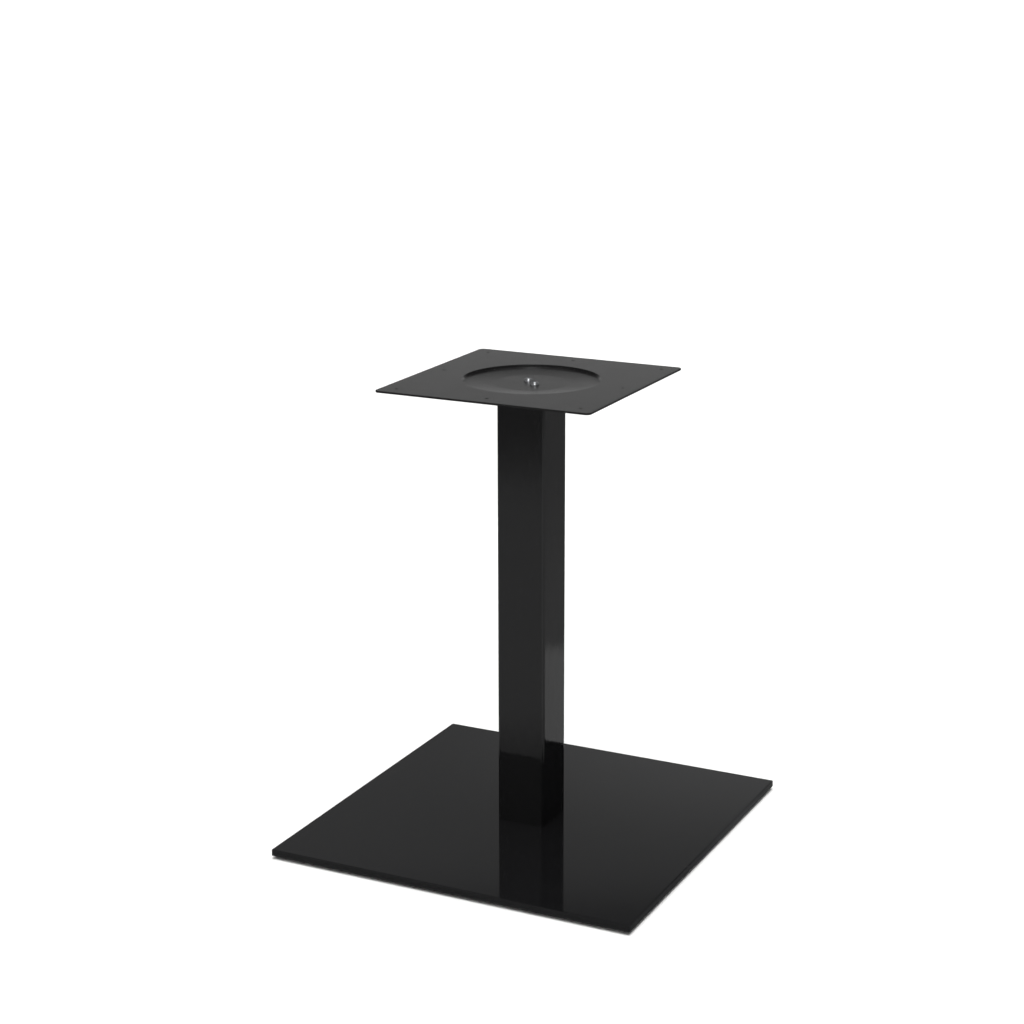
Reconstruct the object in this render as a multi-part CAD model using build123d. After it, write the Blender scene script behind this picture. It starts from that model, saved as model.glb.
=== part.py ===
from build123d import *
import math
import os

# Pedestal table base: a flat square foot plate, a square column and a pressed top plate.
# Millimetres, +Z up, origin on the floor under the middle of the column.

# Whole base
overall_height = 725.0  # floor to the upper face of the top plate

# Foot plate, cut from flat steel
foot_side = 600.0
foot_thickness = 10.0
foot_corner_radius = 2.0
foot_edge_break = 0.8

# Column, a square tube with a plate welded in each end
column_side = 80.0
column_wall = 2.5
column_corner_radius = 5.0
end_plate_thickness = 8.0
end_plate_corner_cut = 4.0

# Top plate, pressed from sheet with a round dish that sinks the screw heads
top_side = 350.0
top_thickness = 3.0
top_corner_radius = 8.0
top_edge_break = 0.5
dish_rim_radius = 106.0
dish_depth = 6.0
dish_seat_radius = 58.0  # level middle that lies on the column
dish_floor_rise = 2.4  # slope of the floor, from the level middle out to the rim
dish_wall_angle = 51.0
dish_rim_bend = 0.5  # inside radius of the bend at the rim
dish_floor_bend = 3.0  # inside radius of the bend at the floor
fixing_hole = 5.0  # for the wood screws of a table top
fixing_edge = 25.0  # hole centre to the plate's edge

# Screws, all of one thread size
screw_diameter = 8.0
screw_point = 1.0  # chamfer at a screw's end
screw_hole = 9.0  # plain hole that a screw passes through
thread_clearance = 0.05  # radial, between a screw and its thread or seat
hex_socket = 5.0  # across flats
hex_socket_depth = 2.6

# Button-head screws through the dish
button_diameter = 14.0
button_height = 4.4
button_rim = 0.9  # upright edge below the dome
button_land = 0.5  # flat ring round the socket
top_screw_length = 16.0  # under the head
top_screw_offset = 10.0  # along X and along Y from the middle

# Countersunk screws from under the foot plate
countersunk_diameter = 16.0
countersunk_sink = 0.5  # head below the plate's underside
foot_screw_length = 20.0  # over all
foot_screw_edge = 12.5  # screw axis to the column's inside wall

# Levelling glides
glide_height = 5.0  # floor to the foot plate, screwed right in
glide_gap = 0.3  # pad to the foot plate, screwed right in
glide_diameter = 30.0
glide_inset = 60.0  # glide axis to the foot plate's edge
glide_foot_bevel = 1.0
glide_skin = 1.5  # plastic under the stud's head
glide_head = 13.0  # across flats of the head in the pad
glide_hole_depth = 8.0
glide_end_gap = 0.5  # stud end to the bottom of its hole

# Levels above the floor
foot_bottom = glide_height
foot_top = foot_bottom + foot_thickness
dish_floor_top = overall_height - dish_depth
column_top = dish_floor_top - top_thickness
column_length = column_top - foot_top
pad_top = foot_bottom - glide_gap
stud_end = foot_bottom + glide_hole_depth - glide_end_gap

# Places seen from above
column_inside = column_side - 2 * column_wall
foot_screw_reach = column_inside / 2 - foot_screw_edge
foot_screw_rows = (-foot_screw_reach, foot_screw_reach)
foot_screw_places = [(x, y) for x in foot_screw_rows for y in foot_screw_rows]
top_screw_places = [(-top_screw_offset, top_screw_offset), (top_screw_offset, -top_screw_offset)]
glide_reach = foot_side / 2 - glide_inset
glide_rows = (-glide_reach, glide_reach)
glide_places = [(x, y) for x in glide_rows for y in glide_rows]
fixing_reach = top_side / 2 - fixing_edge
fixing_rows = (-fixing_reach, 0.0, fixing_reach)
fixing_places = [(x, y) for x in fixing_rows for y in fixing_rows if x or y]

# Radii shared by screws and their holes
screw_radius = screw_diameter / 2
thread_radius = screw_radius + thread_clearance
countersunk_radius = countersunk_diameter / 2
upright = (Align.CENTER, Align.CENTER, Align.MIN)


def square_plate(side, corner_radius, thickness, edge_break):
    """Square plate on the XY plane with rounded corners and its sharp edges broken above and below."""
    blank = extrude(RectangleRounded(side, side, corner_radius), thickness)
    rims = blank.faces().sort_by(Axis.Z)[0].edges() + blank.faces().sort_by(Axis.Z)[-1].edges()
    return chamfer(rims, edge_break)


def round_holes(places, level, radius, depth):
    """Upright cylinders to cut at the given places, from a level upwards."""
    return [Pos(x, y, level) * Cylinder(radius, depth, align=upright) for x, y in places]


def hex_prism(across_flats, height):
    """Upright hexagonal prism on the XY plane."""
    return extrude(RegularPolygon(across_flats / 2, 6, major_radius=False), height)


def turned(outline):
    """Solid turned about Z from a closed half outline of (radius, height) lines."""
    return revolve(Plane.XZ * make_face(outline), Axis.Z)


def countersink():
    """Stepped hole for a countersunk screw, from the foot plate's underside at Z 0 to its upper face."""
    mouth = countersunk_radius + thread_clearance
    hole = screw_hole / 2
    outline = Polyline(
        (0, 0),
        (mouth, 0),
        (mouth, countersunk_sink),
        (hole, countersunk_sink + mouth - hole),
        (hole, foot_thickness),
        (0, foot_thickness),
        close=True,
    )
    return turned(outline)


def make_foot_plate():
    """Flat square plate with blind glide holes and countersunk screw holes in its underside."""
    blank = square_plate(foot_side, foot_corner_radius, foot_thickness, foot_edge_break)
    plate = Pos(0, 0, foot_bottom) * blank
    plate -= round_holes(glide_places, foot_bottom, thread_radius, glide_hole_depth)
    plate -= [Pos(x, y, foot_bottom) * countersink() for x, y in foot_screw_places]
    return plate


def make_column_tube():
    """Square tube from the foot plate up to the underside of the dish."""
    inner_radius = column_corner_radius - column_wall
    section = RectangleRounded(column_side, column_side, column_corner_radius)
    section -= RectangleRounded(column_inside, column_inside, inner_radius)
    return Pos(0, 0, foot_top) * extrude(section, column_length)


def make_end_plate(level, places):
    """Plate that fills the tube's section, its corners cut for the weld, with threaded holes."""
    outline = Rectangle(column_inside, column_inside)
    outline = chamfer(outline.vertices(), end_plate_corner_cut)
    plate = Pos(0, 0, level) * extrude(outline, end_plate_thickness)
    return plate - round_holes(places, level, thread_radius, end_plate_thickness)


def dish_section():
    """Half section of the dish: level seat, gently rising floor, steep wall and the bends between."""
    rim_bend = dish_rim_bend + top_thickness
    steep = math.radians(dish_wall_angle)
    gentle = math.atan2(dish_floor_rise, dish_rim_radius - dish_seat_radius)
    run = dish_rim_radius - dish_seat_radius
    run -= dish_floor_bend * (math.sin(steep) - math.sin(gentle)) + rim_bend * math.sin(steep)
    rise = dish_depth
    rise -= dish_floor_bend * (math.cos(gentle) - math.cos(steep)) + rim_bend * (1 - math.cos(steep))
    floor_length = (run * math.sin(steep) - rise * math.cos(steep)) / math.sin(steep - gentle)
    wall_length = (rise * math.cos(gentle) - run * math.sin(gentle)) / math.sin(steep - gentle)
    seat = Line((0, dish_floor_top), (dish_seat_radius, dish_floor_top))
    floor = PolarLine(seat @ 1, floor_length, math.degrees(gentle))
    lower = JernArc(floor @ 1, floor % 1, dish_floor_bend, dish_wall_angle - math.degrees(gentle))
    wall = PolarLine(lower @ 1, wall_length, direction=lower % 1)
    upper = JernArc(wall @ 1, wall % 1, rim_bend, -dish_wall_angle)
    upper_face = seat + floor + lower + wall + upper
    return offset(upper_face, top_thickness, kind=Kind.INTERSECTION, side=Side.RIGHT)


def make_top_plate():
    """Square sheet with the dish pressed into it, its screw holes and the table top's fixing holes."""
    underside = overall_height - top_thickness
    sheet = Pos(0, 0, underside) * square_plate(top_side, top_corner_radius, top_thickness, top_edge_break)
    sheet -= round_holes([(0, 0)], underside, dish_rim_radius, top_thickness)
    sheet += turned(dish_section())
    sheet -= round_holes(fixing_places, underside, fixing_hole / 2, top_thickness)
    sheet -= round_holes(top_screw_places, column_top, screw_hole / 2, top_thickness)
    return sheet


def make_button_screw():
    """Button-head socket screw, the seat of its head on Z 0 and its shank below."""
    head_radius = button_diameter / 2
    land_radius = hex_socket / math.sqrt(3) + button_land
    dome_drop = land_radius**2 - head_radius**2 + button_height**2 - button_rim**2
    dome_centre = dome_drop / (2 * (button_height - button_rim))
    shank = Polyline(
        (0, button_height),
        (0, -top_screw_length),
        (screw_radius - screw_point, -top_screw_length),
        (screw_radius, screw_point - top_screw_length),
        (screw_radius, 0),
        (head_radius, 0),
        (head_radius, button_rim),
    )
    land = Line((0, button_height), (land_radius, button_height))
    dome = RadiusArc(land @ 1, shank @ 1, math.hypot(head_radius, button_rim - dome_centre))
    socket = Pos(0, 0, button_height - hex_socket_depth) * hex_prism(hex_socket, hex_socket_depth)
    return turned(shank + land + dome) - socket


def make_countersunk_screw():
    """Countersunk socket screw, the flat of its head on Z 0 and its shank above."""
    outline = Polyline(
        (0, 0),
        (countersunk_radius, 0),
        (screw_radius, countersunk_radius - screw_radius),
        (screw_radius, foot_screw_length - screw_point),
        (screw_radius - screw_point, foot_screw_length),
        (0, foot_screw_length),
        close=True,
    )
    return turned(outline) - hex_prism(hex_socket, hex_socket_depth)


def make_glide_pad():
    """Round plastic pad with a bevelled foot and a pocket for the stud's head."""
    pad = Cylinder(glide_diameter / 2, pad_top, align=upright)
    pad = chamfer(pad.edges().sort_by(Axis.Z)[:1], glide_foot_bevel)
    pocket = hex_prism(glide_head + 2 * thread_clearance, pad_top - glide_skin)
    return pad - Pos(0, 0, glide_skin) * pocket


def make_glide_stud():
    """Steel stud with a flat hexagonal head that the pad is moulded round."""
    head = Pos(0, 0, glide_skin) * hex_prism(glide_head, pad_top - glide_skin)
    shank = Pos(0, 0, pad_top) * Cylinder(screw_radius, stud_end - pad_top, align=upright)
    shank = chamfer(shank.edges().sort_by(Axis.Z)[-1:], screw_point)
    return head + shank


def place_copies(nodes, name, shape, places, level):
    """Add one numbered node for each copy of a shape."""
    for number, (x, y) in enumerate(places, start=1):
        nodes[f"{name}_{number}"] = Pos(x, y, level) * shape


def make_nodes():
    """Every piece of the base in its place, by node name."""
    nodes = {
        "foot_plate": make_foot_plate(),
        "column_tube": make_column_tube(),
        "column_foot_flange": make_end_plate(foot_top, foot_screw_places),
        "column_head_bridge": make_end_plate(column_top - end_plate_thickness, top_screw_places),
        "top_plate": make_top_plate(),
    }
    place_copies(nodes, "top_screw", make_button_screw(), top_screw_places, dish_floor_top)
    foot_screw_level = foot_bottom + countersunk_sink
    place_copies(nodes, "foot_screw", make_countersunk_screw(), foot_screw_places, foot_screw_level)
    place_copies(nodes, "glide_pad", make_glide_pad(), glide_places, 0)
    place_copies(nodes, "glide_stud", make_glide_stud(), glide_places, 0)
    return nodes


os.makedirs("parts", exist_ok=True)
for node_name, node_shape in make_nodes().items():
    export_step(node_shape, f"parts/{node_name}.step")
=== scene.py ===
"""Dresses the table base: coated steel, plated screws and moulded glides on a pale studio floor."""

import logging
import math
from abc import ABC, abstractmethod
from dataclasses import dataclass
from enum import Enum
from typing import Any, Self

import bpy
import numpy as np
from mathutils import Matrix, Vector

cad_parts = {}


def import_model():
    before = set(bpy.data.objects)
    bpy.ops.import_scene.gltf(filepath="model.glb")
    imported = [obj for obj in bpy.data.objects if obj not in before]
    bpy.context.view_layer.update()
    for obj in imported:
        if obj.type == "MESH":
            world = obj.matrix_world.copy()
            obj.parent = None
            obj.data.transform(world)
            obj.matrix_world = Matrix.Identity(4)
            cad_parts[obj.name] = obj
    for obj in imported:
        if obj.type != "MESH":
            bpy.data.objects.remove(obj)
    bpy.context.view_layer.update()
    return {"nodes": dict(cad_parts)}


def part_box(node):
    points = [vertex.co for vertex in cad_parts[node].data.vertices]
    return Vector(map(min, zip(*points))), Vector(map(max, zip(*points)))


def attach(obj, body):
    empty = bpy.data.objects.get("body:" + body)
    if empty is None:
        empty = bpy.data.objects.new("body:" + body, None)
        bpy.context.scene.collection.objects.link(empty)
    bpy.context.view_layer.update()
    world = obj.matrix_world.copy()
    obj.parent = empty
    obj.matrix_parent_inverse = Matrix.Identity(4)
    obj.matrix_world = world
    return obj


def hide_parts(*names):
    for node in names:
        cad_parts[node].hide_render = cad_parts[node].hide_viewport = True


LOG = logging.getLogger("table_base")
MM = 0.001
SHARP_ANGLE = math.radians(40)
ALL_ROUND = 360.0
NOISE_SPREAD = (0.25, 0.75)  # where nearly all values of the noise lie
MIDDLE = np.zeros(2)

Tree = bpy.types.NodeTree
Socket = bpy.types.NodeSocket
Material = bpy.types.Material
Piece = bpy.types.Object
Rows = list[tuple[np.ndarray, np.ndarray]]


class Body(Enum):
    """The body that a piece moves with."""

    BASE = "base"
    GLIDE_1 = "glide_1"
    GLIDE_2 = "glide_2"
    GLIDE_3 = "glide_3"
    GLIDE_4 = "glide_4"


class Slot(Enum):
    """The record's material slot that a piece takes its finish from."""

    GLOSS_BLACK = "gloss_black"
    SATIN_BLACK = "satin_black"
    ZINC = "zinc"
    GLIDE_PLASTIC = "glide_plastic"


class Grain(Enum):
    """How a pattern is squeezed along X, Y and Z; under 1 draws it out."""

    EVEN = (1.0, 1.0, 1.0)
    DRAWN_UPRIGHT = (1.0, 1.0, 0.1)


# Node trees


def linear(hex_colour: str) -> tuple[float, float, float, float]:
    """Turn an sRGB hex value into linear colour with full alpha.

    Args:
        hex_colour: Six hex digits, with or without a leading hash.

    Returns:
        Linear red, green and blue, and an alpha of 1.
    """
    digits = hex_colour.lstrip("#")
    shares = np.array([int(digits[i : i + 2], 16) for i in (0, 2, 4)]) / 255
    values = np.where(shares <= 0.04045, shares / 12.92, ((shares + 0.055) / 1.055) ** 2.4)
    return (*values.tolist(), 1.0)


def add_node(tree: Tree, kind: str, inputs: dict[Any, Any], **settings: Any) -> bpy.types.Node:
    """Add a node with its settings, its values and its links.

    Args:
        tree: The node tree that gets the node.
        kind: Blender's type name for the node.
        inputs: A value or another node's output for each input, by name or number.
        settings: The node's own properties.

    Returns:
        The new node.
    """
    node = tree.nodes.new(kind)
    for name, value in settings.items():
        setattr(node, name, value)
    for key, value in inputs.items():
        if isinstance(value, Socket):
            tree.links.new(value, node.inputs[key])
        else:
            node.inputs[key].default_value = value
    return node


def add_range(
    tree: Tree, value: Socket, source: tuple, target: tuple, curve: str = "LINEAR"
) -> Socket:
    """Turn one range of values into another, held at both ends.

    Args:
        tree: The node tree.
        value: What is turned.
        source: The range that is read.
        target: What its two ends become.
        curve: Blender's name for how it goes from end to end.

    Returns:
        The new value.
    """
    inputs = {"Value": value, "From Min": source[0], "From Max": source[1]}
    inputs |= {"To Min": target[0], "To Max": target[1]}
    return add_node(tree, "ShaderNodeMapRange", inputs, interpolation_type=curve).outputs["Result"]


# Finishes


@dataclass(frozen=True)
class Pattern:
    """Noise in the object's own coordinates: the width of a blotch, its octaves and its grain."""

    width: float
    detail: float = 2.0
    grain: Grain = Grain.EVEN

    def add(self, tree: Tree) -> Socket:
        """Add the pattern to a material.

        Args:
            tree: The material's node tree.

        Returns:
            The pattern, spread from 0 to 1.
        """
        place = add_node(tree, "ShaderNodeTexCoord", {}).outputs["Object"]
        drawn = add_node(tree, "ShaderNodeMapping", {"Vector": place, "Scale": self.grain.value})
        inputs = {"Vector": drawn.outputs["Vector"], "Scale": 1 / self.width, "Detail": self.detail}
        noise = add_node(tree, "ShaderNodeTexNoise", inputs).outputs["Fac"]
        return add_range(tree, noise, NOISE_SPREAD, (0.0, 1.0))


Relief = tuple[tuple[Pattern, float], ...]


@dataclass(frozen=True)
class Finish:
    """A surface whose colour and roughness drift together, over patterns of fine relief."""

    name: str
    deep: str
    pale: str
    smooth: float
    dull: float
    cloud: Pattern
    relief: Relief
    ior: float = 1.5
    metallic: float = 0.0

    def material(self) -> Material:
        """Return the finish as a new material with one Principled shader."""
        material = bpy.data.materials.new(self.name)
        material.use_nodes = True
        tree = material.node_tree
        tree.nodes.clear()
        cloud = self.cloud.add(tree)
        factor, colour_a, colour_b, mixed = 0, 6, 7, 2
        inputs = {factor: cloud, colour_a: linear(self.deep), colour_b: linear(self.pale)}
        colour = add_node(tree, "ShaderNodeMix", inputs, data_type="RGBA").outputs[mixed]
        inputs = {"Base Color": colour, "IOR": self.ior, "Metallic": self.metallic}
        inputs["Roughness"] = add_range(tree, cloud, (0.0, 1.0), (self.smooth, self.dull))
        for pattern, height in self.relief:
            bump = {"Distance": height, "Height": pattern.add(tree)}
            if "Normal" in inputs:
                bump["Normal"] = inputs["Normal"]
            inputs["Normal"] = add_node(tree, "ShaderNodeBump", bump).outputs["Normal"]
        shader = add_node(tree, "ShaderNodeBsdfPrincipled", inputs)
        add_node(tree, "ShaderNodeOutputMaterial", {"Surface": shader.outputs["BSDF"]})
        return material


@dataclass(frozen=True)
class GlossCoat(Finish):
    """Gloss black powder coat on plate: a deep black mirror with a faint orange peel."""

    name: str = "powder_coat_gloss_black_on_plate"
    deep: str = "#101011"
    pale: str = "#121213"
    smooth: float = 0.045
    dull: float = 0.075
    cloud: Pattern = Pattern(60 * MM, 3)
    relief: Relief = ((Pattern(3 * MM, 1), 0.0018 * MM),)


@dataclass(frozen=True)
class GlossCoatOnTube(GlossCoat):
    """The same coat on drawn tube, whose upright draw marks break what it mirrors into streaks.

    Real draw marks are under a millimetre wide, too fine to show, so they are drawn coarser.
    """

    name: str = "powder_coat_gloss_black_on_tube"
    deep: str = "#0b0b0c"
    pale: str = "#0d0d0e"
    smooth: float = 0.03
    dull: float = 0.05
    relief: Relief = (
        (Pattern(4 * MM, 1, Grain.DRAWN_UPRIGHT), 0.05 * MM),
        (Pattern(3 * MM, 1), 0.0018 * MM),
    )


@dataclass(frozen=True)
class SatinCoat(Finish):
    """Satin black powder coat on sheet: it greys at a low angle and blurs what it mirrors.

    The real grit is about 0.3 mm, too fine to show from a step away, so it is drawn coarser.
    """

    name: str = "powder_coat_satin_black"
    deep: str = "#0e0e0e"
    pale: str = "#131313"
    smooth: float = 0.18
    dull: float = 0.23
    cloud: Pattern = Pattern(45 * MM, 4)
    relief: Relief = ((Pattern(0.9 * MM, 2), 0.016 * MM),)


@dataclass(frozen=True)
class ZincPlate(Finish):
    """Bright zinc plate on cold-formed steel: a cool silver with small soft spangles."""

    name: str = "zinc_plated_steel"
    deep: str = "#d2d4d7"
    pale: str = "#eff0f2"
    smooth: float = 0.08
    dull: float = 0.16
    cloud: Pattern = Pattern(1.6 * MM, 3)
    relief: Relief = ((Pattern(1.6 * MM, 3), 0.008 * MM),)
    metallic: float = 1.0


@dataclass(frozen=True)
class MillSteel(Finish):
    """Hot-rolled plate left bare inside the column: blue-grey scale in soft patches."""

    name: str = "hot_rolled_steel"
    deep: str = "#3c3f44"
    pale: str = "#63666b"
    smooth: float = 0.42
    dull: float = 0.6
    cloud: Pattern = Pattern(9 * MM, 5)
    relief: Relief = ((Pattern(9 * MM, 5), 0.04 * MM),)
    metallic: float = 1.0


@dataclass(frozen=True)
class MouldedPolyethylene(Finish):
    """Black polyethylene from a spark-eroded mould: a waxy dull black with a fine even grain."""

    name: str = "moulded_polyethylene_black"
    deep: str = "#151515"
    pale: str = "#1e1e1d"
    smooth: float = 0.42
    dull: float = 0.55
    cloud: Pattern = Pattern(0.35 * MM, 2)
    relief: Relief = ((Pattern(0.35 * MM, 2), 0.016 * MM),)
    ior: float = 1.51


@dataclass(frozen=True)
class MattPaper(Finish):
    """Seamless background paper: an even near white without a shine."""

    name: str = "matt_background_paper"
    deep: str = "#f3f3f2"
    pale: str = "#f6f6f5"
    smooth: float = 0.9
    dull: float = 0.97
    cloud: Pattern = Pattern(400 * MM, 2)
    relief: Relief = ()
    ior: float = 1.0


# Meshes


class Patchwork:
    """Grids of points that are sewn into one closed mesh along the edges that they share."""

    WELD = 1e-6  # points in one cube of this size become one
    WELD_OFFSET = 0.237  # keeps round sizes off the cubes' faces

    def __init__(self) -> None:
        """Start with no grids."""
        self.points: list[np.ndarray] = []
        self.quads: list[np.ndarray] = []
        self.count = 0

    def add(self, points: np.ndarray, wrap: bool) -> None:
        """Add a grid whose faces look along its row direction crossed with its column direction.

        Args:
            points: Rows by columns by three coordinates, in metres.
            wrap: Whether the last column joins the first.
        """
        rows, columns = points.shape[:2]
        index = np.arange(rows * columns).reshape(rows, columns) + self.count
        if wrap:
            index = np.concatenate([index, index[:, :1]], axis=1)
        corners = [index[:-1, :-1], index[1:, :-1], index[1:, 1:], index[:-1, 1:]]
        self.quads.append(np.stack(corners, axis=-1).reshape(-1, 4))
        self.points.append(points.reshape(-1, 3))
        self.count += rows * columns

    def add_turned(self, rows: Rows, angles: np.ndarray, centre: np.ndarray) -> None:
        """Add a surface that is turned about an upright axis.

        Args:
            rows: Pairs of radii and heights, one row or more each.
            angles: The columns' angles.
            centre: X and Y of the axis.
        """
        grids = [turned(radii, heights, angles, centre) for radii, heights in rows]
        self.add(np.concatenate(grids), wrap=True)

    def piece(self, name: str) -> Piece:
        """Merge the points that coincide, drop what collapses and make the object.

        Args:
            name: The new object's name.

        Returns:
            The object, linked to the scene, smooth apart from its sharp edges.
        """
        points = np.concatenate(self.points)
        keys = np.floor(points / self.WELD + self.WELD_OFFSET).astype(np.int64)
        _, first, place = np.unique(keys, axis=0, return_index=True, return_inverse=True)
        quads = place.reshape(-1)[np.concatenate(self.quads)]
        kept = quads != np.roll(quads, -1, axis=1)
        sizes = kept.sum(axis=1)
        whole = sizes >= 3
        loops = quads[whole][kept[whole]]
        starts = np.concatenate([[0], np.cumsum(sizes[whole])[:-1]])
        mesh = bpy.data.meshes.new(name)
        mesh.vertices.add(len(first))
        mesh.vertices.foreach_set("co", points[first].astype(np.float32).ravel())
        mesh.loops.add(len(loops))
        mesh.loops.foreach_set("vertex_index", loops.astype(np.int32))
        mesh.polygons.add(len(starts))
        mesh.polygons.foreach_set("loop_start", starts.astype(np.int32))
        mesh.polygons.foreach_set("use_smooth", np.ones(len(starts), dtype=bool))
        mesh.update(calc_edges=True)
        mesh.validate()
        mesh.set_sharp_from_angle(angle=SHARP_ANGLE)
        piece = bpy.data.objects.new(name, mesh)
        bpy.context.scene.collection.objects.link(piece)
        return piece


def at_height(outline: np.ndarray, height: float) -> np.ndarray:
    """Return any array of X and Y with one height added as Z."""
    return np.concatenate([outline, np.full((*outline.shape[:-1], 1), height)], axis=-1)


def full_circle(columns: int) -> np.ndarray:
    """Return the angles of a whole turn in even steps."""
    return np.arange(columns) * 2 * math.pi / columns


def quarter_circle(steps: int) -> np.ndarray:
    """Return the angles of a quarter turn in even steps, both ends included."""
    return np.linspace(0, math.pi / 2, steps + 1)


def on_circle(radius: float, angles: np.ndarray) -> np.ndarray:
    """Return X and Y at the given angles of a circle about the middle."""
    return radius * np.stack([np.cos(angles), np.sin(angles)], axis=1)


def bearings(outline: np.ndarray, centre: np.ndarray) -> np.ndarray:
    """Return the angle of each outline point as seen from the centre."""
    return np.arctan2(outline[:, 1] - centre[1], outline[:, 0] - centre[0])


def column(*values: float) -> np.ndarray:
    """Return the values as one column of rows."""
    return np.array(values)[:, None]


def hexagon(angles: np.ndarray, across_flats: float) -> np.ndarray:
    """Return a hexagon's radius: half its width over the cosine from a flat's middle."""
    return across_flats / 2 / np.cos(np.mod(angles, math.pi / 3) - math.pi / 6)[None, :]


def turned(
    radii: np.ndarray, heights: np.ndarray, angles: np.ndarray, centre: np.ndarray
) -> np.ndarray:
    """Surface turned about an upright axis: radius and height by row, with the angle by column.

    Args:
        radii: Rows of radius, one column or one for each angle.
        heights: Rows of height, one column or one for each angle.
        angles: The columns' angles.
        centre: X and Y of the axis.

    Returns:
        A grid of points.
    """
    radii, heights, wide = np.broadcast_arrays(radii, heights, angles[None, :])
    x, y = centre[0] + radii * np.cos(wide), centre[1] + radii * np.sin(wide)
    return np.stack([x, y, heights], axis=-1)


def rounded_square(half: float, radius: float, stations: np.ndarray, steps: int) -> np.ndarray:
    """Closed loop round a square: a side's stations, then the corner's quarter circle, four times.

    Args:
        half: Half the square's side.
        radius: Corner radius; at 0 or less the corner's points coincide.
        stations: Places along a side, strictly between its corners' arcs.
        steps: Steps in a corner's arc.

    Returns:
        An array of X and Y, anticlockwise from the +X side.
    """
    radius = max(radius, 0.0)
    side = np.stack([np.full_like(stations, half), stations], axis=1)
    corner = half - radius + on_circle(radius, quarter_circle(steps))
    quarter = np.concatenate([side, corner])
    flipped = quarter[:, ::-1]
    return np.concatenate([quarter, flipped * [-1, 1], -quarter, flipped * [1, -1]])


def square_sweep(
    half: float, radius: float, profile: np.ndarray, stations: np.ndarray, steps: int
) -> np.ndarray:
    """Profile carried round a rounded square: each row is the loop at one inset and height.

    Args:
        half: Half the square's side.
        radius: Corner radius of the outermost loop.
        profile: Rows of inset from the side and height.
        stations: Places along a side.
        steps: Steps in a corner's arc.

    Returns:
        A grid of points, one row for each row of the profile.
    """
    insets, heights = profile.T
    loops = [rounded_square(half - inset, radius - inset, stations, steps) for inset in insets]
    return np.stack([at_height(loop, height) for loop, height in zip(loops, heights)])


def plate_edge(reach: float, edge: float, top: float, bottom: float, steps: int) -> np.ndarray:
    """Section of a plate's edge: flat, a quarter circle to the side, the side and the same below.

    Args:
        reach: Inset where the section starts and ends.
        edge: Radius of the two rounded edges.
        top: Height of the upper face.
        bottom: Height of the lower face.
        steps: Steps in each quarter circle.

    Returns:
        Rows of inset and height, from the upper face outwards, down and back.
    """
    angles = quarter_circle(steps)
    upper = np.stack([edge * (1 - np.sin(angles)), top - edge * (1 - np.cos(angles))], axis=1)
    lower = np.stack([edge * (1 - np.cos(angles)), bottom + edge * (1 - np.sin(angles))], axis=1)
    guard = min(edge, (top - bottom) / 2 - edge) / 2
    side = np.array([[0, top - edge - guard], [0, bottom + edge + guard]])
    return np.concatenate([[[reach, top]], upper, side, lower, [[reach, bottom]]])


def pierced_cell(outline: np.ndarray, centre: np.ndarray, radius: float, rings: int) -> np.ndarray:
    """Flat cell with a round hole: straight rays from the hole to each point of the cell's outline.

    Args:
        outline: Closed loop of X and Y, anticlockwise and wholly in sight of the hole.
        centre: The hole's place.
        radius: The hole's radius.
        rings: Steps along each ray, finer towards the hole.

    Returns:
        A grid whose first row is the hole and whose last row is the outline.
    """
    circle = centre + on_circle(radius, bearings(outline, centre))
    share = np.linspace(0, 1, rings + 1)[:, None, None] ** 2
    return circle * (1 - share) + outline * share


def between(start: np.ndarray, end: np.ndarray, steps: int) -> np.ndarray:
    """Return the points that divide a straight line into even steps, without its ends."""
    share = np.linspace(0, 1, steps + 1)[1:-1, None]
    return start * (1 - share) + end * share


# Sub-assemblies


def dress(piece: Piece, material: Material, body: Body, node: str) -> None:
    """Give a new piece its finish, its body and the node that it stands for.

    Args:
        piece: The new piece.
        material: Its material.
        body: The body that it moves with.
        node: The name of the node that it replaces.
    """
    piece.data.materials.append(material)
    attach(piece, body.value)
    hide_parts(node)
    LOG.info("%s: %d faces, on %s", piece.name, len(piece.data.polygons), body.value)


@dataclass
class SquarePiece:
    """A piece that is square seen from above, about the middle."""

    half: float
    bottom: float
    top: float

    @classmethod
    def from_node(cls, node: str) -> Self:
        """Take half the side and both levels from a node's box."""
        low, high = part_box(node)
        return cls(half=high.x, bottom=low.z, top=high.z)


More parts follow.
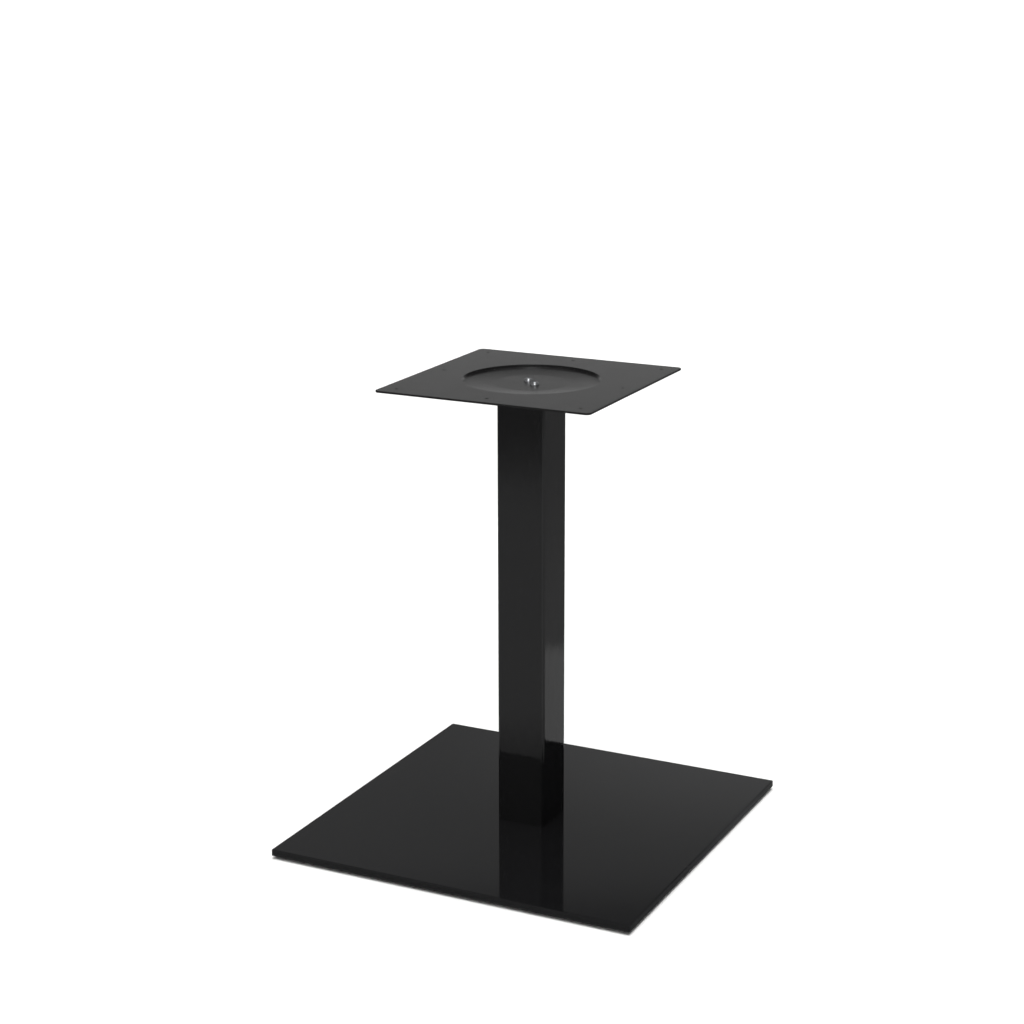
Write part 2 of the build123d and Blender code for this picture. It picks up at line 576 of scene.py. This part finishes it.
@dataclass
class FootPlate(SquarePiece):
    """Square steel plate with rounded edges, countersunk holes and blind glide holes below."""

    corner_radius: float = 2 * MM
    edge_radius: float = 0.8 * MM
    edge_reach: float = 3 * MM  # width of the strip along the edge
    screw_reach: float = 25 * MM
    screw_hole: float = 4.5 * MM
    countersink: float = 8.05 * MM
    countersink_step: float = 0.5 * MM
    glide_reach: float = 240 * MM
    glide_hole: float = 4.05 * MM
    glide_depth: float = 8 * MM
    steps: int = 8

    SCREW_SPANS = {2, 3}  # the spans beside the middle
    GLIDE_SPANS = {0, 5}  # the spans along the edges

    def spans(self) -> list[np.ndarray]:
        """Divide a side so that each hole has a cell of its own, with the hole in its middle.

        Returns:
            The places along each cell's side, from one edge of the plate to the other.
        """
        inner = self.half - self.edge_reach
        glide_end = 2 * self.glide_reach - inner
        screw_end = 2 * self.screw_reach
        lines = [-inner, -glide_end, -screw_end, 0, screw_end, glide_end, inner]
        return [np.linspace(a, b, self.steps + 1) for a, b in zip(lines, lines[1:])]

    def cell_outline(self, x: np.ndarray, y: np.ndarray) -> np.ndarray:
        """Return the anticlockwise loop round a rectangle with these places along X and Y."""
        lower = np.stack([x[:-1], np.full_like(x[:-1], y[0])], axis=1)
        right = np.stack([np.full_like(y[:-1], x[-1]), y[:-1]], axis=1)
        upper = np.stack([x[:0:-1], np.full_like(x[:0:-1], y[-1])], axis=1)
        left = np.stack([np.full_like(y[:0:-1], x[0]), y[:0:-1]], axis=1)
        return np.concatenate([lower, right, upper, left])

    def add_screw_cell(self, work: Patchwork, outline: np.ndarray, centre: np.ndarray) -> None:
        """Lay out a cell with a countersunk hole right through.

        Args:
            work: The patchwork that gets the grids.
            outline: The cell's outline.
            centre: The hole's place.
        """
        cone = self.bottom + self.countersink_step
        waist = cone + self.countersink - self.screw_hole
        radii = column(self.countersink, self.countersink, self.screw_hole, self.screw_hole)
        heights = column(self.bottom, cone, waist, self.top)
        upper = pierced_cell(outline, centre, self.screw_hole, self.steps)
        lower = pierced_cell(outline, centre, self.countersink, self.steps)
        work.add(at_height(upper, self.top), wrap=True)
        work.add(at_height(lower[::-1], self.bottom), wrap=True)
        work.add_turned([(radii, heights)], bearings(outline, centre), centre)

    def add_glide_hole(self, work: Patchwork, outline: np.ndarray, centre: np.ndarray) -> None:
        """Lay out the underside of a cell with a blind hole.

        Args:
            work: The patchwork that gets the grids.
            outline: The cell's outline.
            centre: The hole's place.
        """
        end = self.bottom + self.glide_depth
        rows = [(column(self.glide_hole, self.glide_hole, 0), column(self.bottom, end, end))]
        lower = pierced_cell(outline, centre, self.glide_hole, self.steps)
        work.add(at_height(lower[::-1], self.bottom), wrap=True)
        work.add_turned(rows, bearings(outline, centre), centre)

    def add_cells(self, work: Patchwork) -> None:
        """Lay out both faces cell by cell: screws in the middle four, glides in the corner four.

        Args:
            work: The patchwork that gets the grids.
        """
        spans = self.spans()
        for i, x in enumerate(spans):
            for j, y in enumerate(spans):
                outline = self.cell_outline(x, y)
                centre = np.array([x[0] + x[-1], y[0] + y[-1]]) / 2
                if {i, j} <= self.SCREW_SPANS:
                    self.add_screw_cell(work, outline, centre)
                    continue
                plain = np.stack(np.meshgrid(x, y, indexing="ij"), axis=-1)
                work.add(at_height(plain, self.top), wrap=False)
                if {i, j} <= self.GLIDE_SPANS:
                    self.add_glide_hole(work, outline, centre)
                else:
                    work.add(at_height(plain[::-1], self.bottom), wrap=False)

    def build(self, material: Material) -> None:
        """Build the plate and dress it.

        Args:
            material: The gloss coat.
        """
        work = Patchwork()
        self.add_cells(work)
        stations = np.concatenate([span[:-1] for span in self.spans()])[1:]
        profile = plate_edge(self.edge_reach, self.edge_radius, self.top, self.bottom, self.steps)
        edge = square_sweep(self.half, self.corner_radius, profile, stations, self.steps)
        work.add(edge, wrap=True)
        dress(work.piece("foot_plate_coated"), material, Body.BASE, "foot_plate")


@dataclass
class Column(SquarePiece):
    """Square steel tube with rounded corners, its ends hidden under the two plates."""

    wall: float = 2.5 * MM
    corner_radius: float = 5 * MM
    edge_radius: float = 0.2 * MM
    guard: float = 2 * MM  # flat strip beside each rounded corner
    steps: int = 14
    rows: int = 24

    def profile(self) -> np.ndarray:
        """Return the tube wall's section, inset and height, down the outside and up the inside."""
        edge = self.edge_radius
        down = np.linspace(self.top - edge, self.bottom + edge, self.rows + 1)
        up = np.linspace(self.bottom, self.top, self.rows + 1)
        outside = np.stack([np.zeros_like(down), down], axis=1)
        inside = np.stack([np.full_like(up, self.wall), up], axis=1)
        seam = [[edge, self.top]]
        return np.concatenate([seam, outside, [[edge, self.bottom]], inside, seam])

    def build(self, material: Material) -> None:
        """Build the tube and dress it.

        Args:
            material: The gloss coat on drawn steel.
        """
        reach = self.half - self.corner_radius - self.guard
        stations = np.linspace(-reach, reach, self.steps + 1)
        walls = square_sweep(self.half, self.corner_radius, self.profile(), stations, self.steps)
        work = Patchwork()
        work.add(walls, wrap=True)
        dress(work.piece("column_coated"), material, Body.BASE, "column_tube")


@dataclass
class TopPlate(SquarePiece):
    """Square sheet with rounded corners and a round dish pressed down into its middle."""

    thickness: float = 3 * MM
    corner_radius: float = 8 * MM
    edge_radius: float = 0.5 * MM
    edge_reach: float = 2 * MM  # width of the strip along the edge
    seat_radius: float = 58 * MM
    rim_radius: float = 106 * MM
    floor_rise: float = 2.4 * MM
    wall_angle: float = math.radians(51)
    rim_bend: float = 3.5 * MM
    floor_bend: float = 3 * MM
    pressed_bend: float = 1.2 * MM  # both bends of the upper face
    guard: float = 3 * MM  # plain strip beside a bend or a crease
    fixing_reach: float = 150 * MM
    fixing_hole: float = 2.5 * MM
    screw_offset: float = 10 * MM
    screw_hole: float = 4.5 * MM
    columns: int = 144
    steps: int = 10

    def dish_rows(self, below: float, rim_bend: float, floor_bend: float) -> np.ndarray:
        """Section of the dish: level seat, rising floor, an arc, the steep wall, an arc to the rim.

        The wall is straight, so its length follows from the dish's depth and width.

        Args:
            below: How far under the upper surface, 0 or the sheet's thickness.
            rim_bend: Radius of the arc at the rim, at the upper surface.
            floor_bend: Radius of the arc at the floor, at the upper surface.

        Returns:
            Rows of radius and height, from the seat outwards.
        """
        floor = self.bottom + self.thickness
        gentle = math.atan2(self.floor_rise, self.rim_radius - self.seat_radius)
        slope = np.array([math.cos(gentle), math.sin(gentle)])
        wall = np.array([math.cos(self.wall_angle), math.sin(self.wall_angle)])
        rim_centre = np.array([self.rim_radius, self.top - rim_bend])
        wall_end = rim_centre + rim_bend * wall[::-1] * [-1, 1]
        bend_span = floor_bend * (wall - slope)[::-1] * [1, -1]
        run, rise = wall_end - bend_span - [self.seat_radius, floor]
        wall_length = (rise * slope[0] - run * slope[1]) / math.sin(self.wall_angle - gentle)
        bend_centre = wall_end - wall_length * wall + floor_bend * wall[::-1] * [-1, 1]
        lower = np.linspace(gentle, self.wall_angle, self.steps + 1)
        upper = np.linspace(self.wall_angle, 0, self.steps + 1)
        floor_arc = np.stack([np.sin(lower), -np.cos(lower)], axis=1)
        rim_arc = np.stack([-np.sin(upper), np.cos(upper)], axis=1)
        inner = bend_centre + (floor_bend + below) * floor_arc
        outer = rim_centre + (rim_bend - below) * rim_arc
        crease = np.array([self.seat_radius + below * math.tan(gentle / 2), floor - below])
        start = [self.seat_radius - self.guard, floor - below]
        end = [self.rim_radius + self.guard, self.top - below]
        return np.concatenate([[start, crease, inner[0] - self.guard * slope], inner, outer, [end]])

    def stations(self) -> np.ndarray:
        """Return the places along a side, which include where the flange's eight cells meet."""
        split = (self.half - self.edge_reach) * math.tan(math.pi / 8)
        outer = np.linspace(split, self.half - self.corner_radius, 2 * self.steps, endpoint=False)
        inner = np.linspace(-split, split, 3 * self.steps + 1)[1:-1]
        return np.concatenate([-outer[::-1], inner, outer])

    def add_flange(self, work: Patchwork) -> None:
        """Lay out the flat flange in eight cells, each with its fixing hole.

        Args:
            work: The patchwork that gets the grids.
        """
        inset = self.edge_reach
        stations = self.stations()
        outer = rounded_square(self.half - inset, self.corner_radius - inset, stations, self.steps)
        rim = on_circle(self.rim_radius + self.guard, full_circle(self.columns))
        quarter = len(outer) // 4
        eighth = self.columns // 8
        first = 2 * self.steps - 1
        last = len(stations) - 1 - first
        for number in range(8):
            side, corner = divmod(number, 2)
            ends = (last, quarter + first) if corner else (first, last)
            edge = outer[(np.arange(ends[0], ends[1] + 1) + side * quarter) % len(outer)]
            arc = rim[(np.arange(eighth, -1, -1) + number * eighth - eighth // 2) % self.columns]
            out = between(arc[-1], edge[0], self.steps)
            back = between(edge[-1], arc[0], self.steps)
            angle = number * math.pi / 4
            place = self.fixing_reach * np.round([math.cos(angle), math.sin(angle)])
            outline = np.concatenate([out, edge, back, arc])
            self.add_hole(work, outline, place, self.fixing_hole, self.top)

    def add_seat(self, work: Patchwork) -> None:
        """Lay out the dish's level seat in two halves, each with its screw hole.

        Args:
            work: The patchwork that gets the grids.
        """
        circle = on_circle(self.seat_radius - self.guard, full_circle(self.columns))
        half_turn = self.columns // 2
        for number, way in enumerate((1, -1)):
            start = half_turn // 4 + number * half_turn
            arc = circle[(np.arange(half_turn + 1) + start) % self.columns]
            outline = np.concatenate([arc, between(arc[-1], arc[0], 4 * self.steps)])
            place = self.screw_offset * way * np.array([-1, 1])
            self.add_hole(work, outline, place, self.screw_hole, self.bottom + self.thickness)

    def add_hole(
        self, work: Patchwork, outline: np.ndarray, centre: np.ndarray, radius: float, level: float
    ) -> None:
        """Lay out a cell on both faces of the sheet, with the wall of its hole.

        Args:
            work: The patchwork that gets the grids.
            outline: The cell's outline.
            centre: The hole's place.
            radius: The hole's radius.
            level: Height of the upper face.
        """
        cell = pierced_cell(outline, centre, radius, self.steps)
        work.add(at_height(cell, level), wrap=True)
        work.add(at_height(cell[::-1], level - self.thickness), wrap=True)
        rows = [(column(radius, radius), column(level - self.thickness, level))]
        work.add_turned(rows, bearings(outline, centre), centre)

    def build(self, material: Material) -> None:
        """Build the sheet and dress it: the tool leaves tighter bends above than below.

        Args:
            material: The satin coat.
        """
        work = Patchwork()
        self.add_flange(work)
        self.add_seat(work)
        above = self.dish_rows(0.0, self.pressed_bend, self.pressed_bend)
        below = self.dish_rows(self.thickness, self.rim_bend, self.floor_bend)[::-1]
        for rows in (above, below):
            work.add_turned([(rows[:, :1], rows[:, 1:])], full_circle(self.columns), MIDDLE)
        lower = self.top - self.thickness
        profile = plate_edge(self.edge_reach, self.edge_radius, self.top, lower, self.steps // 2)
        edge = square_sweep(self.half, self.corner_radius, profile, self.stations(), self.steps)
        work.add(edge, wrap=True)
        dress(work.piece("top_plate_coated"), material, Body.BASE, "top_plate")


@dataclass(frozen=True)
class Thread:
    """Coarse right-hand metric thread: its radius falls and rises with the height and the angle."""

    radius: float = 4 * MM
    pitch: float = 1.25 * MM
    depth: float = 0.7 * MM
    blunt: float = 0.2  # how far crests and roots are cut off flat
    steps: int = 10

    def rows(self, top: float, bottom: float, angles: np.ndarray) -> tuple[np.ndarray, np.ndarray]:
        """Crest less the depth times a blunted sawtooth of height over pitch minus angle.

        The tooth eases to nothing over the first and the last pitch.

        Args:
            top: Height where the thread starts.
            bottom: Height where it ends.
            angles: The columns' angles.

        Returns:
            Radii for each row and angle, and heights for each row, from the top down.
        """
        count = round((top - bottom) / self.pitch * self.steps)
        heights = np.linspace(top, bottom, count + 1)[:, None]
        phase = np.mod(heights / self.pitch - angles / (2 * math.pi), 1)
        tooth = np.clip(np.abs(2 * phase - 1) * (1 + 2 * self.blunt) - self.blunt, 0, 1)
        fade = np.clip(np.minimum(top - heights, heights - bottom) / self.pitch, 0, 1)
        return self.radius - self.depth * tooth * fade * fade * (3 - 2 * fade), heights


@dataclass
class SocketScrew(ABC):
    """What both kinds of screw share: the hexagon socket, the thread and the chamfered end."""

    name: str
    count: int
    upturned: bool
    head_radius: float
    length: float
    socket: float = 5 * MM
    socket_depth: float = 2.6 * MM
    socket_bevel: float = 0.2 * MM
    point: float = 1 * MM
    thread: Thread = Thread()
    columns: int = 72

    def socket_rows(self, face: float) -> Rows:
        """Rows from the middle of the socket's floor up its six walls to the face.

        Args:
            face: Height of the head's face.

        Returns:
            Pairs of radii and heights.
        """
        floor = column(face - self.socket_depth)
        wall = hexagon(full_circle(self.columns), self.socket)
        rows = [(column(0), floor), (wall, floor), (wall, column(face - self.socket_bevel))]
        return [*rows, (wall + self.socket_bevel, column(face))]

    def shank_rows(self, top: float) -> Rows:
        """Rows down the thread and over the chamfered end.

        Args:
            top: Height where the thread starts.

        Returns:
            Pairs of radii and heights.
        """
        thread = self.thread.rows(top, self.point - self.length, full_circle(self.columns))
        end = (column(self.thread.radius - self.point, 0), column(-self.length, -self.length))
        return [thread, end]

    @abstractmethod
    def rows(self) -> Rows:
        """Return the whole screw's rows, from its socket's middle to its end's middle."""

    def build(self, name: str, place: np.ndarray) -> Piece:
        """Build one screw, head up or turned over about X.

        Args:
            name: The new object's name.
            place: Where the screw's axis and its zero height are.

        Returns:
            The screw's object.
        """
        angles = full_circle(self.columns)
        grids = [turned(radii, heights, angles, MIDDLE) for radii, heights in self.rows()]
        facing = np.array([1, -1, -1]) if self.upturned else np.ones(3)
        work = Patchwork()
        work.add(np.concatenate(grids) * facing + place, wrap=True)
        return work.piece(name)

    def build_all(self, material: Material) -> None:
        """Build the screws where their nodes are and dress them.

        Args:
            material: The zinc plate.
        """
        for number in range(1, self.count + 1):
            node = f"{self.name}_{number}"
            low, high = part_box(node)
            zero = low.z if self.upturned else low.z + self.length
            place = np.array([(low.x + high.x) / 2, (low.y + high.y) / 2, zero])
            piece = self.build(f"{self.name}_threaded_{number}", place)
            dress(piece, material, Body.BASE, node)


@dataclass
class TopScrews(SocketScrew):
    """Two button-head screws that hold the top plate to the column."""

    name: str = "top_screw"
    count: int = 2
    upturned: bool = False
    head_radius: float = 7 * MM
    length: float = 16 * MM
    head_height: float = 4.4 * MM
    head_rim: float = 0.9 * MM
    head_guard: float = 0.2 * MM
    land: float = 0.5 * MM
    steps: int = 12

    def rows(self) -> Rows:
        """Return the socket, land, dome cut from a sphere, upright rim, seat and shank."""
        land = self.socket / math.sqrt(3) + self.land
        squares = land**2 - self.head_radius**2 + self.head_height**2 - self.head_rim**2
        middle = squares / (2 * (self.head_height - self.head_rim))
        sphere = math.hypot(land, self.head_height - middle)
        end = math.acos((self.head_rim - middle) / sphere)
        tilt = np.linspace(math.asin(land / sphere), end, self.steps + 1)[:, None]
        dome = (sphere * np.sin(tilt), middle + sphere * np.cos(tilt))
        rim = (column(self.head_radius, self.head_radius), column(self.head_guard, 0))
        return [*self.socket_rows(self.head_height), dome, rim, *self.shank_rows(0)]


@dataclass
class FootScrews(SocketScrew):
    """Four countersunk screws that hold the foot plate to the column from below."""

    name: str = "foot_screw"
    count: int = 4
    upturned: bool = True
    head_radius: float = 8 * MM
    length: float = 20 * MM

    def rows(self) -> Rows:
        """Return the socket, flat face, cone and shank, head up."""
        neck = self.thread.radius - self.head_radius
        return [*self.socket_rows(0), (column(self.head_radius), column(0)), *self.shank_rows(neck)]


@dataclass
class Glides:
    """Four levelling glides: a moulded pad round the hexagonal head of a threaded steel stud."""

    pad_radius: float = 15 * MM
    pad_bevel: float = 1 * MM
    pad_edge: float = 0.3 * MM
    head: float = 13 * MM
    head_gap: float = 0.05 * MM
    point: float = 1 * MM
    thread: Thread = Thread()
    columns: int = 72

    def pad(self, name: str, place: np.ndarray, top: float, skin: float) -> Piece:
        """Build a pad from its pocket's floor up, out over its rim and down to its foot.

        Args:
            name: The new object's name.
            place: X and Y of its axis.
            top: Height of its upper face.
            skin: Height of the pocket's floor.

        Returns:
            The pad's object.
        """
        angles = full_circle(self.columns)
        pocket = hexagon(angles, self.head + 2 * self.head_gap)
        rim = self.pad_radius
        rows = [(column(0), column(skin)), (pocket, column(skin)), (pocket, column(top))]
        rows.append((column(rim - self.pad_edge, rim), column(top, top - self.pad_edge)))
        rows.append((column(rim, rim - self.pad_bevel, 0), column(self.pad_bevel, 0, 0)))
        work = Patchwork()
        work.add_turned(rows, angles, place)
        return work.piece(name)

    def stud(self, name: str, place: np.ndarray, end: float, top: float, skin: float) -> Piece:
        """Build a stud from its chamfered end down its thread and over its hexagonal head.

        Args:
            name: The new object's name.
            place: X and Y of its axis.
            end: Height of its upper end.
            top: Height of its head's upper face.
            skin: Height of its head's lower face.

        Returns:
            The stud's object.
        """
        angles = full_circle(self.columns)
        head = hexagon(angles, self.head)
        rows = [(column(0, self.thread.radius - self.point), column(end, end))]
        rows.append(self.thread.rows(end - self.point, top, angles))
        rows += [(head, column(top)), (head, column(skin)), (column(0), column(skin))]
        work = Patchwork()
        work.add_turned(rows, angles, place)
        return work.piece(name)

    def build_all(self, plastic: Material, zinc: Material) -> None:
        """Build the four pads and studs and dress them.

        Args:
            plastic: The pads' material.
            zinc: The studs' material.
        """
        bodies = (Body.GLIDE_1, Body.GLIDE_2, Body.GLIDE_3, Body.GLIDE_4)
        for number, body in enumerate(bodies, start=1):
            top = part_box(f"glide_pad_{number}")[1].z
            low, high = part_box(f"glide_stud_{number}")
            place = np.array([low.x + high.x, low.y + high.y]) / 2
            pad = self.pad(f"glide_pad_moulded_{number}", place, top, low.z)
            stud = self.stud(f"glide_stud_threaded_{number}", place, high.z, top, low.z)
            dress(pad, plastic, body, f"glide_pad_{number}")
            dress(stud, zinc, body, f"glide_stud_{number}")


@dataclass
class EndPlates:
    """The two plates welded into the column's ends, which keep their nodes' shape."""

    names: tuple[str, str] = ("column_foot_flange", "column_head_bridge")

    def dress_all(self, nodes: dict[str, Piece], material: Material) -> None:
        """Give both plates their finish.

        Args:
            nodes: The frame's nodes by name.
            material: The bare steel.
        """
        for name in self.names:
            nodes[name].data.materials.clear()
            nodes[name].data.materials.append(material)
            LOG.info("%s: kept as built", name)


# Studio


@dataclass(frozen=True)
class PhotoCamera:
    """The camera at the photograph's place, found from the plates' corners."""

    place: tuple[float, float, float] = (1.4316, -2.9634, 1.4351)
    yaw: float = math.radians(26.308)
    pitch: float = math.radians(15.606)
    roll: float = math.radians(-0.131)
    lens: float = 78.12
    sensor: float = 36.0
    far: float = 200.0

    def build(self) -> None:
        """Make the camera and let the scene look through it."""
        data = bpy.data.cameras.new("photo_camera")
        data.lens = self.lens
        data.sensor_width = self.sensor
        data.clip_end = self.far
        camera = bpy.data.objects.new("photo_camera", data)
        bpy.context.scene.collection.objects.link(camera)
        turn = Matrix.Rotation(self.yaw, 4, "Z") @ Matrix.Rotation(math.pi / 2 - self.pitch, 4, "X")
        roll = Matrix.Rotation(self.roll, 4, "Z")
        camera.matrix_world = Matrix.Translation(self.place) @ turn @ roll
        bpy.context.scene.camera = camera


@dataclass(frozen=True)
class Card:
    """Part of the surroundings: one brightness in a window of azimuth and elevation, in degrees."""

    low: float
    high: float
    soft: float
    bright: float
    azimuth: float = 0.0
    half_width: float = ALL_ROUND

    def glow(self, tree: Tree, level: Socket, height: Socket) -> Socket:
        """Brightness by direction: a soft window in elevation times a soft window in azimuth.

        Args:
            tree: The world's node tree.
            level: The direction that is looked along, on the level.
            height: Its elevation.

        Returns:
            The card's brightness in that direction.
        """
        low, high, soft = (math.radians(angle) for angle in (self.low, self.high, self.soft))
        above = add_range(tree, height, (low - soft, low + soft), (0.0, self.bright), "SMOOTHSTEP")
        below = add_range(tree, height, (high - soft, high + soft), (1.0, 0.0), "SMOOTHSTEP")
        window = add_node(tree, "ShaderNodeMath", {0: above, 1: below}, operation="MULTIPLY")
        if self.half_width == ALL_ROUND:
            return window.outputs[0]
        azimuth = math.radians(self.azimuth)
        inputs = {0: level, 1: (math.sin(azimuth), -math.cos(azimuth), 0)}
        toward = add_node(tree, "ShaderNodeVectorMath", inputs, operation="DOT_PRODUCT")
        edge = math.cos(math.radians(self.half_width))
        core = math.cos(math.radians(self.half_width / 2))
        across = add_range(tree, toward.outputs["Value"], (edge, core), (0.0, 1.0), "SMOOTHSTEP")
        inputs = {0: window.outputs[0], 1: across}
        return add_node(tree, "ShaderNodeMath", inputs, operation="MULTIPLY").outputs[0]


@dataclass(frozen=True)
class Studio:
    """Pale floor that sweeps up all round, a soft light overhead and what the gloss mirrors."""

    floor_radius: float = 36.0
    sweep: float = 9.0
    top_light: float = 3.0
    top_light_spread: float = math.radians(50)
    floor_rings: tuple[float, ...] = (0.0, 1.0, 3.0)
    floor_columns: int = 96
    sweep_steps: int = 24
    cards: tuple[Card, ...] = (
        # Low down and all round, for the sides of the foot plate, then the open room above
        Card(low=-60, high=-23, soft=0.5, bright=0.12),
        Card(low=-60, high=-23, soft=0.5, bright=0.1, azimuth=-28, half_width=60),
        Card(low=-23.5, high=-2, soft=1.5, bright=0.17),
        Card(low=-2, high=120, soft=1.5, bright=0.06),
        # Beside the base, for the faces and corners of the column
        Card(low=-21.6, high=-14.5, soft=1.2, bright=0.29, azimuth=-26, half_width=110),
        Card(low=-21.6, high=-13.0, soft=1.2, bright=0.27, azimuth=75, half_width=75),
        Card(low=-22.3, high=-19.1, soft=0.15, bright=0.23, azimuth=169, half_width=24),
        Card(low=-20, high=-16, soft=2, bright=0.04, azimuth=154, half_width=40),
        # Behind the base, for the foot plate
        Card(low=20, high=25.5, soft=1, bright=0.137, azimuth=206, half_width=30),
        Card(low=18, high=23.2, soft=1.5, bright=0.13, azimuth=190, half_width=19),
        # Behind the base and lower, for the top plate and the near side of its dish
        Card(low=-8, high=7.5, soft=2, bright=0.31, azimuth=206, half_width=36),
        Card(low=-8, high=16, soft=1.2, bright=0.24, azimuth=206, half_width=36),
        # Overhead and high in front, for the domes of the screws
        Card(low=60, high=120, soft=16, bright=0.55, azimuth=206, half_width=120),
        Card(low=82, high=120, soft=2.5, bright=4.0),
        Card(low=42, high=54, soft=3, bright=5.0, azimuth=26, half_width=30),
        # In front, for the rounded edges and for the plates seen from the other sides
        Card(low=14, high=34, soft=3, bright=0.4, azimuth=-26, half_width=45),
        Card(low=5, high=40, soft=4, bright=0.12, azimuth=26, half_width=140),
    )

    def build_floor(self) -> None:
        """Make the floor: a disc whose edge turns up all round in a quarter circle."""
        rise = quarter_circle(self.sweep_steps)
        radii = np.concatenate([self.floor_rings, self.floor_radius + self.sweep * np.sin(rise)])
        level = np.zeros(len(self.floor_rings))
        heights = np.concatenate([level, self.sweep * (1 - np.cos(rise))])
        rows = [(radii[:, None], heights[:, None])]
        work = Patchwork()
        work.add_turned(rows, full_circle(self.floor_columns), MIDDLE)
        floor = work.piece("studio_floor")
        floor.data.materials.append(MattPaper().material())
        floor.visible_glossy = False

    def build_world(self) -> None:
        """Make the surroundings as the sum of the cards."""
        world = bpy.data.worlds.new("studio_surroundings")
        bpy.context.scene.world = world
        world.use_nodes = True
        tree = world.node_tree
        tree.nodes.clear()
        direction = add_node(tree, "ShaderNodeTexCoord", {}).outputs["Generated"]
        upward = add_node(tree, "ShaderNodeSeparateXYZ", {"Vector": direction}).outputs["Z"]
        height = add_node(tree, "ShaderNodeMath", {0: upward}, operation="ARCSINE").outputs[0]
        inputs = {0: direction, 1: (1, 1, 0)}
        flat = add_node(tree, "ShaderNodeVectorMath", inputs, operation="MULTIPLY").outputs[0]
        level = add_node(tree, "ShaderNodeVectorMath", {0: flat}, operation="NORMALIZE").outputs[0]
        total = 0.0
        for card in self.cards:
            inputs = {0: total, 1: card.glow(tree, level, height)}
            total = add_node(tree, "ShaderNodeMath", inputs, operation="ADD").outputs[0]
        shade = add_node(tree, "ShaderNodeBackground", {"Color": (1, 1, 1, 1), "Strength": total})
        add_node(tree, "ShaderNodeOutputWorld", {"Surface": shade.outputs["Background"]})

    def build_top_light(self) -> None:
        """Hang a wide soft light overhead, which lights the floor and stays out of the gloss."""
        data = bpy.data.lights.new("soft_top_light", "SUN")
        data.energy = self.top_light
        data.angle = self.top_light_spread
        light = bpy.data.objects.new("soft_top_light", data)
        light.visible_glossy = False
        bpy.context.scene.collection.objects.link(light)

    def build(self) -> None:
        """Make the floor, the surroundings and the light."""
        self.build_floor()
        self.build_world()
        self.build_top_light()
        bpy.context.scene.view_settings.view_transform = "Standard"


def main() -> None:
    """Load the frame, build and dress each sub-assembly, then the studio."""
    logging.basicConfig(level=logging.INFO, format="%(message)s")
    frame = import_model()
    zinc = ZincPlate().material()
    FootPlate.from_node("foot_plate").build(GlossCoat().material())
    Column.from_node("column_tube").build(GlossCoatOnTube().material())
    TopPlate.from_node("top_plate").build(SatinCoat().material())
    TopScrews().build_all(zinc)
    FootScrews().build_all(zinc)
    Glides().build_all(MouldedPolyethylene().material(), zinc)
    EndPlates().dress_all(frame["nodes"], MillSteel().material())
    Studio().build()
    PhotoCamera().build()


if __name__ == "__main__":
    main()
